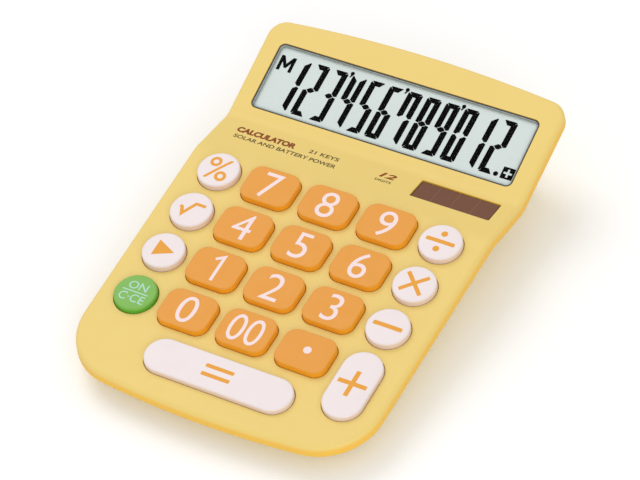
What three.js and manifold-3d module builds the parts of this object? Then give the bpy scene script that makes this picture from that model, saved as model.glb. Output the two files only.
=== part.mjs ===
// Desk calculator with a folded deck: a flat keypad, a sloping band with a solar cell, and a raised display.
// Millimetres, +Z up, +X right, +Y towards the display end. The calculator stands on its four feet at Z = 0.
import * as THREE from 'three';
import { mergeVertices } from 'three/addons/utils/BufferGeometryUtils.js';
import Module from 'manifold-3d';

const wasm = await Module();
wasm.setup();

// ---- Driving dimensions ----
const GAP = 0.3; // between pieces that touch
const DECK_TILT = THREE.MathUtils.degToRad(7); // keypad plane against the desk
const BAND_SLOPE = THREE.MathUtils.degToRad(-15); // solar band against the keypad plane
const DISPLAY_SLOPE = THREE.MathUtils.degToRad(13.9); // display panel against the keypad plane
const FOLD_Y = 0; // where the keypad ends and the band starts
const VALLEY_Y = 24; // where the band meets the display panel
const FRONT_HEIGHT = 13.5; // keypad surface above the desk at the front edge
const SKIN = 2; // thickness of the case walls

// Plan outline of the case at its widest line, measured in the keypad plane.
const CASE = {
  halfWidth: 64,
  front: -112.3,
  frontBow: 5,
  frontRadius: 23.8,
  back: 71.3,
  backBow: 3.5,
  backRadius: 7.8,
};
const TAPER = 0.0002; // the case widens towards the display, per millimetre
const TAPER_ORIGIN_Y = -15;
const RIM_DEPTH = 5; // side wall of the top case
// Inset and height of the rounded top edge.
const CASE_EDGE = [[0, -RIM_DEPTH], [0.15, -2.4], [0.7, -0.8], [1.9, 0]];
const CORNER_STEPS = 6;
const BOW_STEPS = 8;

// Plan outline of the underside, where the bottom case meets its flat base.
const BASE = {
  halfWidth: 53,
  front: -106.5,
  frontBow: 4,
  frontRadius: 20,
  back: 60,
  backBow: 3,
  backRadius: 12,
};
const BASE_TAPER = -0.0012;
const BASE_HEIGHT = 1.5; // flat base above the desk
const BILGE_HEIGHT = 4.5; // where the sloping side turns into the base

// Keys. Numbers are rounded rectangles, functions are round or pill shaped.
const COLUMN_PITCH = 25;
const ROW_PITCH = 21.3;
const FIRST_ROW_Y = -9;
const FUNCTION_X = 47.8;
const KEY_CLEARANCE = 0.4;
const FLANGE = 0.9; // how far the retaining flange stands out from the cap
const FLANGE_THICKNESS = 1.1;
const NUMBER = { halfX: 10.6, halfY: 8.35, radius: 4.8, height: 2.6 };
const ROUND = { halfX: 8.5, halfY: 8.5, radius: 8.5, height: 2.8 };
const CLEAR = { halfX: 8.5, halfY: 8.5, radius: 8.5, height: 2.2 };
const TALL_PILL = { halfX: 8, halfY: 15.4, radius: 8, height: 2.4 };
const WIDE_PILL = { halfX: 30.8, halfY: 7.7, radius: 7.7, height: 2.4 };
const KEY_CORNER_STEPS = 4;
const PLUS_Y = -79.4;
const EQUALS_Y = -94.2;

// Windows, as seen square on to their own panels.
const DISPLAY_WINDOW = { halfX: 57, low: 5.56, high: 35.54, radius: 2.6 };
const SOLAR_WINDOW = { x: 40.75, halfX: 16.75, low: 10.97, high: 22.05, radius: 0.6 };
const SOLAR_GLASS = { halfX: 18.4, halfY: 7, thickness: 1.1, recess: 0.5 };

// Inside, as depths below the keypad surface.
const BOARD_TOP = -8.3;
const BOARD_THICKNESS = 1.6;
const MAT_TOP = -7;
const DOME_TOP = -3.7;
const BOSS_BOTTOM = -5;
const CASE_SCREWS = [[36.5, -98], [37.5, -40.95]];
const HOOKS = { x: 30, halfX: 4, y: 66.2, thickness: 1.2, reach: 2.6 }; // snap hooks at the back edge
const BOARD_SCREW_X = 12.5;
const BOARD_SCREW_ROWS = [FIRST_ROW_Y - ROW_PITCH / 2, FIRST_ROW_Y - 2.5 * ROW_PITCH];

// ---- Materials ----
const finish = (color, roughness, metalness = 0) => (
  new THREE.MeshStandardMaterial({ color, roughness, metalness })
);
const YELLOW = finish(0xf1d483, 0.42);
const ORANGE = finish(0xeca85a, 0.4);
const WHITE = finish(0xf3e9e8, 0.35);
const GREEN = finish(0x76c350, 0.35);
const RUBBER = finish(0x3c3a38, 0.85);
const SILICONE = finish(0xd8d6ce, 0.7);
const BOARD_GREEN = finish(0x2f6b3c, 0.5);
const GLASS = finish(0xd7e0de, 0.15);
const CLEAR_PLASTIC = finish(0xe6ecec, 0.08);
const SOLAR_BROWN = finish(0x744f3f, 0.25);
const HOLDER_GREY = finish(0x8d9092, 0.55);
const RIBBON_AMBER = finish(0xb98a4a, 0.5);
const EPOXY = finish(0x141416, 0.45);
const STEEL = finish(0xb9bcc0, 0.35, 1);
const BRASS = finish(0xc9b06a, 0.35, 1);
const RED_WIRE = finish(0xb5281f, 0.5);
const BLACK_WIRE = finish(0x1b1b1d, 0.5);
const SLEEVE = finish(0x2a3f6b, 0.45);

// ---- Small tools ----
function toSolid(geometry) {
  const bare = geometry.clone();
  bare.deleteAttribute('normal');
  bare.deleteAttribute('uv');
  const merged = mergeVertices(bare, 1e-4);
  return new wasm.Manifold(new wasm.Mesh({
    numProp: 3,
    vertProperties: new Float32Array(merged.getAttribute('position').array),
    triVerts: new Uint32Array(merged.getIndex().array),
  }));
}

function toGeometry(solid) {
  const { vertProperties, triVerts } = solid.getMesh();
  const geometry = new THREE.BufferGeometry();
  geometry.setAttribute('position', new THREE.BufferAttribute(new Float32Array(vertProperties), 3));
  geometry.setIndex(new THREE.BufferAttribute(new Uint32Array(triVerts), 1));
  return geometry;
}

// A closed body through a list of rings with equal point counts, capped at both ends.
function loft(rings) {
  const count = rings[0].length;
  const points = rings.flat();
  const index = [];
  for (let ring = 0; ring < rings.length - 1; ring += 1) {
    for (let i = 0; i < count; i += 1) {
      const a = ring * count + i;
      const b = ring * count + ((i + 1) % count);
      index.push(a, b, b + count, a, b + count, a + count);
    }
  }
  const cap = (ring, flip) => {
    const flat = rings[ring].map((p) => new THREE.Vector2(p.x, p.y));
    for (const face of THREE.ShapeUtils.triangulateShape(flat, [])) {
      const [a, b, c] = face.map((i) => i + ring * count);
      index.push(a, ...(flip ? [c, b] : [b, c]));
    }
  };
  cap(0, true);
  cap(rings.length - 1, false);
  const geometry = new THREE.BufferGeometry().setFromPoints(points);
  geometry.setIndex(index);
  return geometry;
}

const ringAt = (outline, z) => outline.map((p) => new THREE.Vector3(p.x, p.y, z));

// Rounded rectangle, counter-clockwise, grown outwards by the given offset.
function roundedRectangle({ halfX, halfY, radius }, offset = 0, centre = [0, 0], steps = KEY_CORNER_STEPS) {
  const r = radius + offset;
  const outline = [];
  for (const [sx, sy, start] of [[1, 1, 0], [-1, 1, 1], [-1, -1, 2], [1, -1, 3]]) {
    for (let i = 0; i <= steps; i += 1) {
      const angle = (start + i / steps) * (Math.PI / 2);
      const x = sx * (halfX - radius) + r * Math.cos(angle);
      const y = sy * (halfY - radius) + r * Math.sin(angle);
      outline.push(new THREE.Vector2(centre[0] + x, centre[1] + y));
    }
  }
  return outline.filter((p, i) => p.distanceTo(outline[(i + 1) % outline.length]) > 1e-3);
}

const prism = (outline, low, high) => loft([ringAt(outline, low), ringAt(outline, high)]);
const box = (halfX, halfY, low, high, centre = [0, 0]) => {
  const geometry = new THREE.BoxGeometry(2 * halfX, 2 * halfY, high - low);
  return geometry.translate(centre[0], centre[1], (low + high) / 2);
};
const tube = (radius, low, high, centre = [0, 0], sides = 12) => {
  const geometry = new THREE.CylinderGeometry(radius, radius, high - low, sides).rotateX(Math.PI / 2);
  return geometry.translate(centre[0], centre[1], (low + high) / 2);
};
const turned = (profile, sides = 16) => {
  const points = profile.map(([r, z]) => new THREE.Vector2(r, z));
  return new THREE.LatheGeometry(points, sides).rotateX(Math.PI / 2);
};

// The case outline as arcs and tapering sides, with a point on each fold line, counter-clockwise.
function planOutline(size, inset, taper) {
  const halfWidth = size.halfWidth - inset;
  const bowRadius = (bow) => (halfWidth ** 2 + bow ** 2) / (2 * bow);
  const frontBowRadius = bowRadius(size.frontBow);
  const backBowRadius = bowRadius(size.backBow);
  const frontCentre = size.front + inset + frontBowRadius;
  const backCentre = size.back - inset - backBowRadius;
  const frontRadius = size.frontRadius - inset;
  const backRadius = size.backRadius - inset;
  const frontX = halfWidth - frontRadius;
  const backX = halfWidth - backRadius;
  const frontY = frontCentre - Math.sqrt((frontBowRadius - frontRadius) ** 2 - frontX ** 2);
  const backY = backCentre + Math.sqrt((backBowRadius - backRadius) ** 2 - backX ** 2);
  const frontAngle = Math.atan2(frontY - frontCentre, frontX);
  const backAngle = Math.atan2(backY - backCentre, backX);
  const right = [];
  const arc = (x, y, radius, from, to, steps) => {
    for (let i = 0; i <= steps; i += 1) {
      const angle = from + ((to - from) * i) / steps;
      right.push([x + radius * Math.cos(angle), y + radius * Math.sin(angle)]);
    }
  };
  arc(0, frontCentre, frontBowRadius, -Math.PI / 2, frontAngle, BOW_STEPS / 2);
  right.pop();
  arc(frontX, frontY, frontRadius, frontAngle, 0, CORNER_STEPS);
  right.push([halfWidth, FOLD_Y], [halfWidth, VALLEY_Y]);
  arc(backX, backY, backRadius, 0, backAngle, CORNER_STEPS);
  right.pop();
  arc(0, backCentre, backBowRadius, backAngle, Math.PI / 2, BOW_STEPS / 2);
  const left = right.slice(1, -1).reverse().map(([x, y]) => [-x, y]);
  const widen = (y) => 1 + taper * (y - TAPER_ORIGIN_Y);
  return [...right, ...left].map(([x, y]) => new THREE.Vector2(x * widen(y), y));
}

// Height of the top surface over the keypad plane.
function deckHeight(y) {
  if (y <= FOLD_Y) return 0;
  const valley = (VALLEY_Y - FOLD_Y) * Math.tan(BAND_SLOPE);
  if (y <= VALLEY_Y) return (y - FOLD_Y) * Math.tan(BAND_SLOPE);
  return valley + (y - VALLEY_Y) * Math.tan(DISPLAY_SLOPE);
}

// Cuts every triangle that crosses the line y = foldY, so that the body can bend there.
function splitAt(geometry, foldY) {
  const source = (geometry.index ? geometry.toNonIndexed() : geometry).getAttribute('position');
  const corners = [];
  const crossing = (p, q) => {
    const [a, b] = p.y < q.y ? [p, q] : [q, p];
    const point = a.clone().lerp(b, (foldY - a.y) / (b.y - a.y));
    point.y = foldY;
    return point;
  };
  const side = (p) => (Math.abs(p.y - foldY) < 1e-4 ? 0 : Math.sign(p.y - foldY));
  for (let i = 0; i < source.count; i += 3) {
    const face = [0, 1, 2].map((k) => new THREE.Vector3().fromBufferAttribute(source, i + k));
    for (const keep of [-1, 1]) {
      const polygon = [];
      face.forEach((p, k) => {
        const q = face[(k + 1) % 3];
        if (side(p) !== -keep) polygon.push(p);
        if (side(p) * side(q) < 0) polygon.push(crossing(p, q));
      });
      if (!polygon.some((p) => side(p) === keep)) continue;
      for (let k = 1; k < polygon.length - 1; k += 1) corners.push(polygon[0], polygon[k], polygon[k + 1]);
    }
  }
  return new THREE.BufferGeometry().setFromPoints(corners);
}

function bendOverFolds(geometry) {
  const bent = splitAt(splitAt(geometry, FOLD_Y), VALLEY_Y);
  const position = bent.getAttribute('position');
  for (let i = 0; i < position.count; i += 1) {
    position.setZ(i, position.getZ(i) + deckHeight(position.getY(i)));
  }
  return mergeVertices(bent, 1e-4);
}

// ---- Scene graph ----
const calculator = new THREE.Group();
const deck = new THREE.Group(); // keypad plane: origin on the fold line, Z out of the surface
const band = new THREE.Group(); // solar band, hinged on the fold line
const display = new THREE.Group(); // display panel, hinged on the valley line
deck.rotation.x = DECK_TILT;
band.rotation.x = BAND_SLOPE;
display.rotation.x = DISPLAY_SLOPE;
display.position.set(0, VALLEY_Y, deckHeight(VALLEY_Y));
deck.add(band, display);
calculator.add(deck);

const alongDeck = (y, z) => ({
  y: y * Math.cos(DECK_TILT) - z * Math.sin(DECK_TILT),
  z: y * Math.sin(DECK_TILT) + z * Math.cos(DECK_TILT),
});
const foremost = Math.min(...CASE_EDGE.map(([inset, z]) => alongDeck(CASE.front + inset, z).y));
const rearmost = Math.max(...CASE_EDGE.map(([inset, z]) => {
  const y = CASE.back - inset;
  return alongDeck(y, deckHeight(y) + z).y;
}));
deck.position.y = -(foremost + rearmost) / 2;
deck.position.z = FRONT_HEIGHT - alongDeck(CASE.front, 0).z;
// Depth, in the keypad frame, of a height over the desk.
const depthOf = (height, y) => (height - deck.position.z - y * Math.sin(DECK_TILT)) / Math.cos(DECK_TILT);

function addPart(parent, name, geometry, material, position = [0, 0, 0]) {
  const mesh = new THREE.Mesh(geometry, material);
  mesh.name = name;
  mesh.position.set(...position);
  parent.add(mesh);
  return mesh;
}

// ---- Keys ----
const KEYS = [];
const NUMBER_ROWS = [['7', '8', '9'], ['4', '5', '6'], ['1', '2', '3'], ['0', '00', 'point']];
NUMBER_ROWS.forEach((row, j) => {
  row.forEach((label, i) => {
    const centre = [(i - 1) * COLUMN_PITCH, FIRST_ROW_Y - j * ROW_PITCH];
    KEYS.push({ name: `key_${label}`, form: NUMBER, centre, material: ORANGE });
  });
});
const FUNCTION_COLUMNS = [
  [-FUNCTION_X, ['percent', 'root', 'back', 'clear']],
  [FUNCTION_X, ['divide', 'times', 'minus']],
];
FUNCTION_COLUMNS.forEach(([x, labels]) => {
  labels.forEach((label, j) => {
    const [form, material] = label === 'clear' ? [CLEAR, GREEN] : [ROUND, WHITE];
    KEYS.push({ name: `key_${label}`, form, centre: [x, FIRST_ROW_Y - j * ROW_PITCH], material });
  });
});
KEYS.push({ name: 'key_plus', form: TALL_PILL, centre: [FUNCTION_X, PLUS_Y], material: WHITE });
KEYS.push({ name: 'key_equals', form: WIDE_PILL, centre: [0, EQUALS_Y], material: WHITE });

// A cap with a rounded top edge and a flange that keeps it under the deck.
function keycap({ form, centre }) {
  const flangeTop = -SKIN - GAP;
  const ring = (offset, z) => ringAt(roundedRectangle(form, offset), z);
  return loft([
    ring(FLANGE, flangeTop - FLANGE_THICKNESS),
    ring(FLANGE, flangeTop),
    ring(0, flangeTop),
    ring(-0.1, form.height - 0.9),
    ring(-0.9, form.height),
  ]).translate(centre[0], centre[1], 0);
}

KEYS.forEach((key) => addPart(deck, key.name, keycap(key), key.material));

// ---- Top case ----
const mirrored = (points) => points.flatMap(([x, y]) => [[x, y], [-x, y]]);
const boardScrewPoints = BOARD_SCREW_ROWS.flatMap((y) => mirrored([[BOARD_SCREW_X, y]]));
const caseScrewPoints = mirrored(CASE_SCREWS);
const CASE_BOSS = { radius: 3, bore: 1.6 };
const BOARD_BOSS = { radius: 2.3, bore: 1.1 };

function topCase() {
  const edge = (inset, z) => ringAt(planOutline(CASE, inset, TAPER), z);
  const shell = loft([
    edge(SKIN + 0.2, -SKIN),
    edge(SKIN + 0.2, -RIM_DEPTH),
    ...CASE_EDGE.map(([inset, z]) => edge(inset, z)),
  ]);
  let solid = toSolid(shell);
  for (const [points, boss, bottom] of [
    [caseScrewPoints, CASE_BOSS, BOSS_BOTTOM],
    [boardScrewPoints, BOARD_BOSS, BOARD_TOP + GAP],
  ]) {
    for (const point of points) {
      solid = solid.add(toSolid(tube(boss.radius, bottom, -SKIN / 2, point)));
      solid = solid.subtract(toSolid(tube(boss.bore, bottom - 1, -SKIN, point, 8)));
    }
  }
  for (const { form, centre } of KEYS) {
    solid = solid.subtract(toSolid(prism(roundedRectangle(form, KEY_CLEARANCE, centre), -SKIN - 1, 1)));
  }
  // The windows are cut square to their own panels, after the bend.
  let bent = toSolid(bendOverFolds(toGeometry(solid)));
  for (const [opening, panel, x] of [[DISPLAY_WINDOW, display, 0], [SOLAR_WINDOW, band, SOLAR_WINDOW.x]]) {
    const form = { halfX: opening.halfX, halfY: (opening.high - opening.low) / 2, radius: opening.radius };
    const centre = [x, (opening.high + opening.low) / 2];
    panel.updateMatrix();
    const cutter = prism(roundedRectangle(form, 0, centre, 3), -SKIN - 1, 1).applyMatrix4(panel.matrix);
    bent = bent.subtract(toSolid(cutter));
  }
  return toGeometry(bent);
}

addPart(deck, 'top_case', topCase(), YELLOW);

// ---- Bottom case ----
const FLOOR_HEIGHT = BASE_HEIGHT + SKIN;
const PILLAR = { radius: 3.7, bore: 1.7, sink: 2.9, head: 2.4 };
const FOOT = { radius: 5, height: 1.8, recess: 0.6, sides: 20 };
const FEET = [
  ['front_left', -44, -70],
  ['front_right', 44, -70],
  ['back_left', -36, 64],
  ['back_right', 36, 64],
];
const BATTERY = { x: 0, y: 52, radius: 5.8, height: 5.4 };
const DOOR = { halfX: 15, halfY: 10, radius: 2, thickness: 1.7 };
const DOOR_CENTRE = [BATTERY.x + 4, BATTERY.y];
const DOOR_SCREW_POINT = [DOOR_CENTRE[0] + 10.6, BATTERY.y];
const POCKET_WALL = 1.5;
const CELL_LOW = FLOOR_HEIGHT + GAP;
const CELL_HIGH = CELL_LOW + BATTERY.height;
const CONTACT = { leg: 1.2, thickness: 0.4, clear: 0.6 };
const CONTACT_TOP = CELL_HIGH + 4;
const DOOR_SCREW = { headRadius: 2.3, headHeight: 0.9, shaftRadius: 1, length: 4 };
const PILLAR_TOP = BOSS_BOTTOM - GAP;

function bottomCase() {
  const rim = (inset) => planOutline(CASE, inset, TAPER)
    .map((p) => new THREE.Vector3(p.x, p.y, deckHeight(p.y) - RIM_DEPTH - GAP));
  const level = (inset, height) => planOutline(BASE, inset, BASE_TAPER)
    .map((p) => new THREE.Vector3(p.x, p.y, depthOf(height, p.y)));
  const shell = loft([
    level(2.5, BASE_HEIGHT),
    level(0, BILGE_HEIGHT),
    rim(0.3),
    rim(SKIN + 0.2),
    level(SKIN, BILGE_HEIGHT + 1),
    level(SKIN + 2, FLOOR_HEIGHT),
  ]);
  let solid = toSolid(shell);
  const inside = toSolid(loft([level(1, BASE_HEIGHT + 0.5), level(1, BILGE_HEIGHT + 1), rim(1.2)]));
  for (const point of caseScrewPoints) {
    const low = depthOf(0, point[1]);
    solid = solid.add(toSolid(tube(PILLAR.radius, low, PILLAR_TOP, point, 16)).intersect(inside));
    solid = solid.subtract(toSolid(tube(PILLAR.bore, low, PILLAR_TOP + 1, point)));
    solid = solid.subtract(toSolid(tube(PILLAR.sink, low - 5, PILLAR_TOP - PILLAR.head, point)));
  }
  for (const x of [-HOOKS.x, HOOKS.x]) {
    const seat = deckHeight(HOOKS.y) - RIM_DEPTH;
    const hook = box(HOOKS.halfX, HOOKS.thickness / 2, seat - 6, seat + HOOKS.reach, [x, HOOKS.y]);
    solid = solid.add(toSolid(hook));
  }
  return solid;
}

// The base carries the battery pocket and the foot recesses, which stand square to the desk.
function deskToDeck(geometry) {
  return geometry.translate(0, -deck.position.y, -deck.position.z).rotateX(-DECK_TILT);
}

function finishedBottomCase() {
  const { x, y, radius } = BATTERY;
  const pocket = roundedRectangle(DOOR, POCKET_WALL + GAP, DOOR_CENTRE, 2);
  let solid = bottomCase().add(toSolid(deskToDeck(prism(pocket, FLOOR_HEIGHT - 1, CELL_HIGH + 2))));
  const hollows = [
    prism(roundedRectangle(DOOR, GAP, DOOR_CENTRE, 2), 0, FLOOR_HEIGHT),
    tube(radius + 1, FLOOR_HEIGHT - 1, CELL_HIGH + 0.7, [x, y], 20),
    tube(DOOR_SCREW.shaftRadius + GAP, FLOOR_HEIGHT - 1, CELL_HIGH - 1, DOOR_SCREW_POINT, 8),
    box(CONTACT.leg + 0.4, 0.6, CELL_HIGH, CELL_HIGH + 3, [x, y]),
    box(0.6, CONTACT.leg + 0.4, CELL_LOW, CELL_HIGH + 3, [x - radius - CONTACT.clear - 0.1, y]),
    ...FEET.map(([, footX, footY]) => (
      tube(FOOT.radius + GAP, 0, BASE_HEIGHT + FOOT.recess, [footX, footY], FOOT.sides)
    )),
  ];
  for (const hollow of hollows) solid = solid.subtract(toSolid(deskToDeck(hollow)));
  return toGeometry(solid);
}

addPart(deck, 'bottom_case', finishedBottomCase(), YELLOW);

const footProfile = [
  [0, 0],
  [FOOT.radius - 0.4, 0],
  [FOOT.radius, 0.4],
  [FOOT.radius, FOOT.height],
  [0, FOOT.height],
];
for (const [place, x, y] of FEET) {
  addPart(calculator, `foot_${place}`, turned(footProfile, FOOT.sides), RUBBER, [x, y, 0]);
}

// ---- Battery ----
function batteryDoor() {
  const top = BASE_HEIGHT + DOOR.thickness;
  const sink = tube(DOOR_SCREW.headRadius + 0.5, 0, BASE_HEIGHT + 0.8, DOOR_SCREW_POINT);
  const bore = tube(DOOR_SCREW.shaftRadius + 0.5, 0, top + 1, DOOR_SCREW_POINT);
  const plate = toSolid(prism(roundedRectangle(DOOR, 0, DOOR_CENTRE, 2), BASE_HEIGHT, top));
  return toGeometry(plate.subtract(toSolid(bore)).subtract(toSolid(sink)));
}

function coinCell() {
  const { radius, height } = BATTERY;
  const step = 0.3; // the negative cap stands out below the can
  return turned([
    [0, 0],
    [radius - 1.4, 0],
    [radius - 1.4 + step, step],
    [radius - step, step],
    [radius, 2 * step],
    [radius, height],
    [0, height],
  ], 24);
}

function topContact() {
  const spring = box(3.5, 2, CELL_HIGH + 0.2, CELL_HIGH + 0.5);
  const leg = box(CONTACT.leg, CONTACT.thickness / 2, CELL_HIGH + 0.3, CONTACT_TOP);
  return toGeometry(toSolid(spring).add(toSolid(leg)));
}

const SIDE_CONTACT_X = BATTERY.x - BATTERY.radius - CONTACT.clear;
const sideContact = box(CONTACT.thickness / 2, CONTACT.leg, CELL_LOW + 0.6, CONTACT_TOP);
addPart(calculator, 'battery_door', batteryDoor(), YELLOW);
addPart(calculator, 'coin_cell', coinCell(), STEEL, [BATTERY.x, BATTERY.y, CELL_LOW]);
addPart(calculator, 'battery_contact_top', topContact(), BRASS, [BATTERY.x, BATTERY.y, 0]);
addPart(calculator, 'battery_contact_side', sideContact, BRASS, [SIDE_CONTACT_X, BATTERY.y, 0]);

// ---- Screws ----
function screw({ headRadius, headHeight, shaftRadius, length }) {
  return turned([
    [0, 0], [headRadius - 0.3, 0], [headRadius, 0.4], [headRadius, headHeight],
    [shaftRadius, headHeight], [shaftRadius, headHeight + length - 0.8], [0, headHeight + length],
  ]);
}

const CASE_SCREW = { headRadius: 2.5, headHeight: 1.6, shaftRadius: 1.25, length: 5.4 };
const BOARD_SCREW = { headRadius: 2, headHeight: 1.2, shaftRadius: 0.8, length: 5 };
CASE_SCREWS.forEach(([x, y], i) => {
  for (const [side, sx] of [['left', -x], ['right', x]]) {
    const z = PILLAR_TOP - PILLAR.head - GAP - CASE_SCREW.headHeight;
    addPart(deck, `case_screw_${['front', 'middle'][i]}_${side}`, screw(CASE_SCREW), STEEL, [sx, y, z]);
  }
});
boardScrewPoints.forEach(([x, y], i) => {
  const z = BOARD_TOP - BOARD_THICKNESS - GAP - BOARD_SCREW.headHeight;
  addPart(deck, `board_screw_${i + 1}`, screw(BOARD_SCREW), STEEL, [x, y, z]);
});
const doorScrewAt = [...DOOR_SCREW_POINT, BASE_HEIGHT - 0.4];
addPart(calculator, 'battery_door_screw', screw(DOOR_SCREW), STEEL, doorScrewAt);

// ---- Circuit board and key mat ----
const BOARD = { front: -101.5, back: 3, halfX: 55, frontRadius: 24, backRadius: 4 };

// Board outline with large front corners, which clear the sloping sides of the bottom case.
function boardPlan(inset) {
  const outline = [];
  for (const [sx, y, radius, start] of [
    [1, BOARD.back, BOARD.backRadius, 0],
    [-1, BOARD.back, BOARD.backRadius, 1],
    [-1, BOARD.front, BOARD.frontRadius, 2],
    [1, BOARD.front, BOARD.frontRadius, 3],
  ]) {
    const centreY = y - Math.sign(y) * radius;
    for (let i = 0; i <= 4; i += 1) {
      const angle = (start + i / 4) * (Math.PI / 2);
      const x = sx * (BOARD.halfX - radius) + (radius - inset) * Math.cos(angle);
      outline.push(new THREE.Vector2(x, centreY + (radius - inset) * Math.sin(angle)));
    }
  }
  return outline;
}

function drillSheet(solid, screwBore) {
  const through = (radius, point, sides) => toSolid(tube(radius, BOARD_TOP - 5, MAT_TOP + 1, point, sides));
  let drilled = solid;
  for (const point of caseScrewPoints) {
    drilled = drilled.subtract(through(PILLAR.radius + 0.6, point, 12));
  }
  for (const point of boardScrewPoints) drilled = drilled.subtract(through(screwBore, point, 8));
  return drilled;
}

const boardBlank = toSolid(prism(boardPlan(0), BOARD_TOP - BOARD_THICKNESS, BOARD_TOP));
addPart(deck, 'circuit_board', toGeometry(drillSheet(boardBlank, 1.2)), BOARD_GREEN);

const DOME = { baseRadius: 6, topRadius: 3.4, wall: 0.8, roof: 1.2, sides: 10 };

// One rubber sheet with a hollow dome under each key.
function keyMat() {
  const low = BOARD_TOP + GAP;
  let solid = drillSheet(toSolid(prism(boardPlan(1), low, MAT_TOP)), BOARD_BOSS.radius + 0.4);
  const dome = (thinner, base, height, [x, y]) => {
    const top = DOME.topRadius - thinner;
    const geometry = new THREE.CylinderGeometry(top, DOME.baseRadius - thinner, height - base, DOME.sides);
    return toSolid(geometry.rotateX(Math.PI / 2).translate(x, y, (height + base) / 2));
  };
  for (const { centre } of KEYS) {
    const outer = dome(0, MAT_TOP - 0.5, DOME_TOP, centre);
    const hollow = dome(DOME.wall, low - 1, DOME_TOP - DOME.roof, centre);
    solid = solid.add(outer).subtract(hollow);
  }
  return toGeometry(solid);
}

addPart(deck, 'rubber_key_mat', keyMat(), SILICONE);

const BOARD_UNDERSIDE = BOARD_TOP - BOARD_THICKNESS - GAP;
const chipProfile = [[0, -1.6], [3, -1.5], [5, -1.1], [6.5, 0], [0, 0]];
addPart(deck, 'chip_cover', turned(chipProfile), EPOXY, [-28, -20, BOARD_UNDERSIDE]);
const CAPACITOR = { radius: 2.5, length: 9, sides: 14, x: 28, y: -12 };
const capacitorCan = new THREE.CylinderGeometry(
  CAPACITOR.radius,
  CAPACITOR.radius,
  CAPACITOR.length,
  CAPACITOR.sides,
).rotateZ(Math.PI / 2);
const capacitorAt = [CAPACITOR.x, CAPACITOR.y, BOARD_UNDERSIDE - CAPACITOR.radius];
addPart(deck, 'capacitor', capacitorCan, SLEEVE, capacitorAt);

// ---- Display ----
// The glass has a large back plate and a smaller front plate, which stands in the window under the lens.
const windowForm = {
  halfX: DISPLAY_WINDOW.halfX,
  halfY: (DISPLAY_WINDOW.high - DISPLAY_WINDOW.low) / 2,
  radius: DISPLAY_WINDOW.radius,
};
const windowCentre = [0, (DISPLAY_WINDOW.high + DISPLAY_WINDOW.low) / 2];
const LENS = { low: -1.1, high: -GAP };
const PANEL = { halfX: 58.6, halfY: 16.3, y: 19.8, low: -5.6, high: -3.6, face: LENS.low - GAP };
const HOLDER = { halfX: 59.8, halfY: 17.3, radius: 2, low: -7.4, openX: 50, openY: 14 };

const insideWindow = (low, high) => prism(roundedRectangle(windowForm, -GAP, windowCentre, 3), low, high);

function displayPanel() {
  const back = toSolid(box(PANEL.halfX, PANEL.halfY, PANEL.low, PANEL.high, [0, PANEL.y]));
  return toGeometry(back.add(toSolid(insideWindow(PANEL.high - 1, PANEL.face))));
}

function displayHolder() {
  const centre = [0, PANEL.y];
  let solid = toSolid(prism(roundedRectangle(HOLDER, 0, centre, 2), HOLDER.low, PANEL.high));
  solid = solid.subtract(toSolid(box(PANEL.halfX + GAP, PANEL.halfY + GAP, PANEL.low - GAP, 0, centre)));
  return toGeometry(solid.subtract(toSolid(box(HOLDER.openX, HOLDER.openY, HOLDER.low - 1, 0, centre))));
}

addPart(display, 'display_lens', insideWindow(LENS.low, LENS.high), CLEAR_PLASTIC);
addPart(display, 'display_panel', displayPanel(), GLASS);
addPart(display, 'display_holder', displayHolder(), HOLDER_GREY);

// The ribbon runs from the back of the glass to the underside of the board.
function ribbon() {
  const halfWidth = 45;
  const thickness = 0.3;
  const route = [[34.6, -10.4], [32.6, -13.3], [20, -13.3], [7, -10.4], [-3, -10.4]];
  const upper = route.map(([y, z]) => new THREE.Vector2(y, z));
  const lower = route.map(([y, z]) => new THREE.Vector2(y, z - thickness)).reverse();
  const geometry = new THREE.ExtrudeGeometry(new THREE.Shape([...upper, ...lower]), {
    depth: 2 * halfWidth,
    bevelEnabled: false,
  });
  // The profile's first axis becomes Y and its second Z, so the extrusion runs along X.
  const axes = new THREE.Matrix4().makeBasis(
    new THREE.Vector3(0, 1, 0),
    new THREE.Vector3(0, 0, 1),
    new THREE.Vector3(1, 0, 0),
  );
  return geometry.applyMatrix4(axes).translate(-halfWidth, 0, 0);
}

addPart(deck, 'display_ribbon', ribbon(), RIBBON_AMBER);

// ---- Solar cell ----
// The plate lies under the band, and its raised glass fills the window to just below the surface.
function solarCell() {
  const centre = [SOLAR_WINDOW.x, (SOLAR_WINDOW.high + SOLAR_WINDOW.low) / 2];
  const form = {
    halfX: SOLAR_WINDOW.halfX,
    halfY: (SOLAR_WINDOW.high - SOLAR_WINDOW.low) / 2,
    radius: SOLAR_WINDOW.radius,
  };
  const plateTop = -SKIN * Math.cos(BAND_SLOPE) - GAP;
  const plateLow = plateTop - SOLAR_GLASS.thickness;
  const plate = toSolid(box(SOLAR_GLASS.halfX, SOLAR_GLASS.halfY, plateLow, plateTop, centre));
  const raised = prism(roundedRectangle(form, -GAP, centre, 3), plateLow + 0.5, -SOLAR_GLASS.recess);
  return toGeometry(plate.add(toSolid(raised)));
}

addPart(band, 'solar_cell', solarCell(), SOLAR_BROWN);

// ---- Wires ----
const WIRE_RADIUS = 0.6;

function wire(points) {
  const route = new THREE.CatmullRomCurve3(points.map((p) => new THREE.Vector3(...p)));
  const section = new THREE.Shape();
  section.absarc(0, 0, WIRE_RADIUS, 0, 2 * Math.PI);
  return new THREE.ExtrudeGeometry(section, { steps: 10, curveSegments: 3, extrudePath: route });
}

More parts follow.
